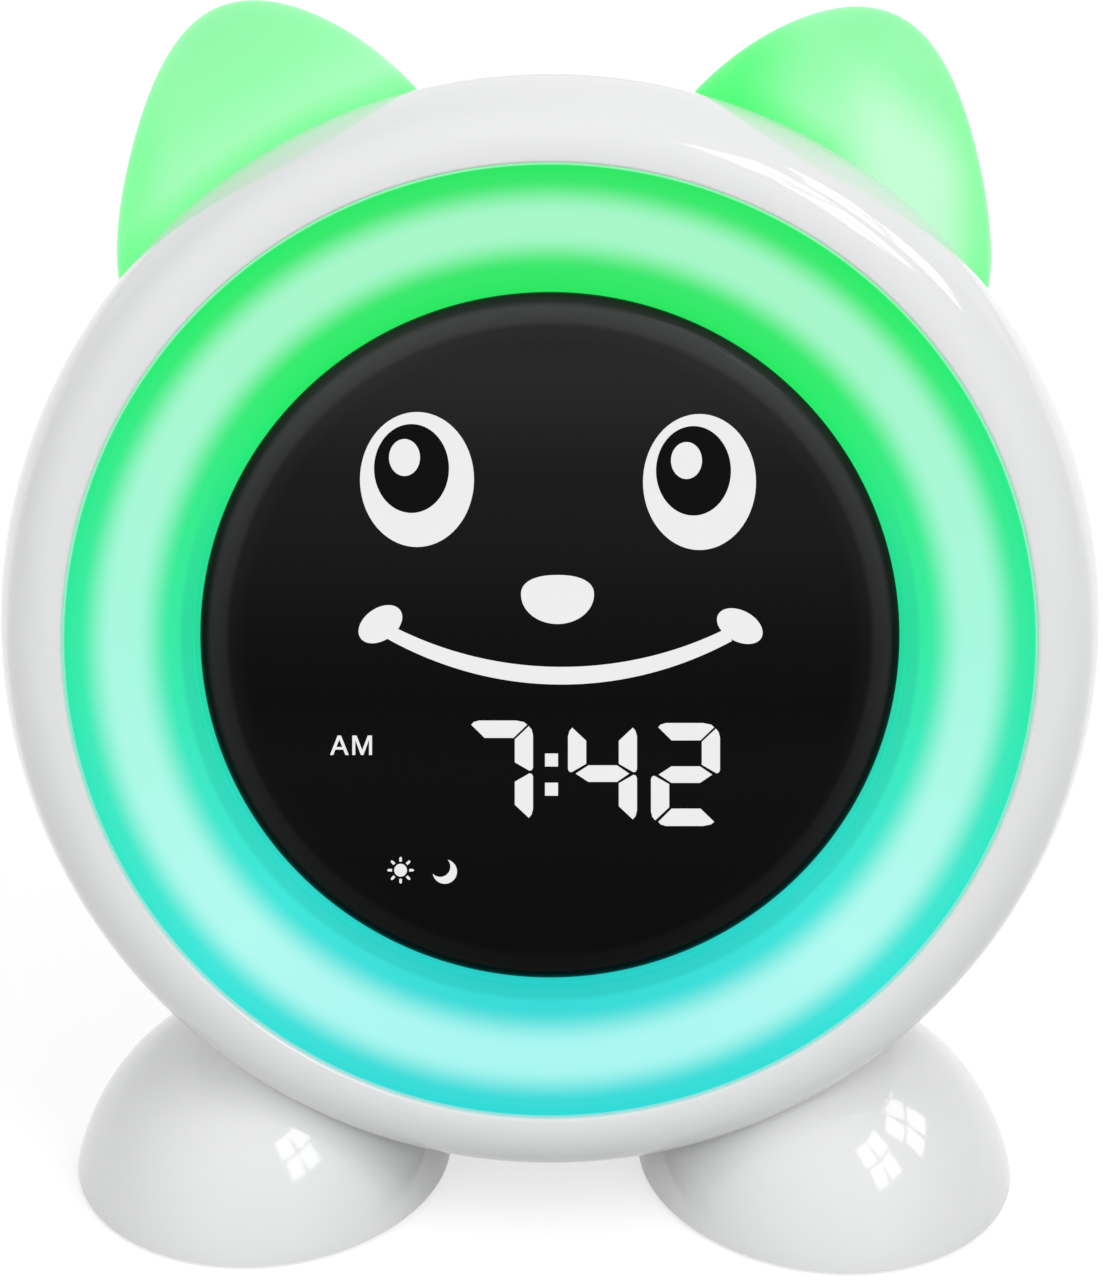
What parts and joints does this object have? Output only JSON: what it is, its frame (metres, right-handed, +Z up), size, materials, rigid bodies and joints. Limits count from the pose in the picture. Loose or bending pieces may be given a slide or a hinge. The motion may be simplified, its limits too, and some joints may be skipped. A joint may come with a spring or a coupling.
{
  "type": "kids alarm clock with night light",
  "caption": "Round bedside alarm clock with a glowing ring and ears, a black face display with a smile and the time, and two domed feet.",
  "frame": {"origin": "on the table under the centre of the bounding box", "axes": "+Z up, +X to the viewer's right, -Y towards the viewer, so the display faces -Y and leans back 12 degrees"},
  "size_m": [0.13, 0.0836, 0.1361],
  "materials": {
    "white_shell": "polished white moulding",
    "ring_diffuser": "milky light diffuser, lit",
    "ear_diffuser": "milky light diffuser, lit green",
    "black_lens": "polished smoked lens",
    "mask": "black mask",
    "circuit_board": "solder mask",
    "led": "lamp package",
    "chip": "moulded black",
    "frame_plastic": "unpainted moulding",
    "reflector": "white reflector",
    "button_plastic": "satin white moulding",
    "sole_plastic": "satin white moulding",
    "pad_rubber": "grey non-slip rubber",
    "foam": "closed-cell foam",
    "screw_steel": "zinc plated",
    "socket_steel": "nickel plated",
    "cell_steel": "stainless can",
    "magnet": "plated magnet",
    "cone_paper": "pressed cone",
    "battery_wrap": "shrink sleeve"
  },
  "bodies": {
    "casing": {"backup_cell": "cell_steel", "battery_cell": "battery_wrap", "battery_cradle": "frame_plastic", "board_screws": "screw_steel", "cell_holder": "chip", "display_board": "circuit_board", "display_driver": "chip", "display_leds": "led", "display_lens": "black_lens", "ear_boards": "circuit_board", "ear_clips": "frame_plastic", "ear_leds": "led", "ear_left": "ear_diffuser", "ear_right": "ear_diffuser", "foot_left": "white_shell", "foot_pads": "pad_rubber", "foot_right": "white_shell", "foot_screws": "screw_steel", "frame_screws": "screw_steel", "front_shell": "white_shell", "inner_frame": "frame_plastic", "lens_gasket": "foam", "light_box": "mask", "light_ring": "ring_diffuser", "main_board": "circuit_board", "mask_film": "mask", "processor_chip": "chip", "rear_shell": "white_shell", "ring_board": "circuit_board", "ring_leds": "led", "ring_reflector": "reflector", "shell_screws": "screw_steel", "sole_plate_left": "sole_plastic", "sole_plate_right": "sole_plastic", "sole_screws": "screw_steel", "speaker_cone": "cone_paper", "speaker_frame": "screw_steel", "speaker_gasket": "foam", "speaker_magnet": "magnet", "tact_switches": "chip", "usb_socket": "socket_steel"},
    "light_button": {"light_button": "button_plastic"},
    "volume_down_button": {"volume_down_button": "button_plastic"},
    "down_button": {"down_button": "button_plastic"},
    "up_button": {"up_button": "button_plastic"},
    "set_button": {"set_button": "button_plastic"},
    "alarm_button": {"alarm_button": "button_plastic"}
  },
  "joints": [
    {"name": "light_button_press", "type": "slide", "parent": "casing", "child": "light_button", "axis": [0, -0.9781, 0.2079], "range_m": [0, 0.0006], "stiffness_N_per_m": 900},
    {"name": "volume_down_button_press", "type": "slide", "parent": "casing", "child": "volume_down_button", "axis": [0, -0.9781, 0.2079], "range_m": [0, 0.0006], "stiffness_N_per_m": 900},
    {"name": "down_button_press", "type": "slide", "parent": "casing", "child": "down_button", "axis": [0, -0.9781, 0.2079], "range_m": [0, 0.0006], "stiffness_N_per_m": 900},
    {"name": "up_button_press", "type": "slide", "parent": "casing", "child": "up_button", "axis": [0, -0.9781, 0.2079], "range_m": [0, 0.0006], "stiffness_N_per_m": 900},
    {"name": "set_button_press", "type": "slide", "parent": "casing", "child": "set_button", "axis": [0, -0.9781, 0.2079], "range_m": [0, 0.0006], "stiffness_N_per_m": 900},
    {"name": "alarm_button_press", "type": "slide", "parent": "casing", "child": "alarm_button", "axis": [0, -0.9781, 0.2079], "range_m": [0, 0.0006], "stiffness_N_per_m": 900}
  ]
}
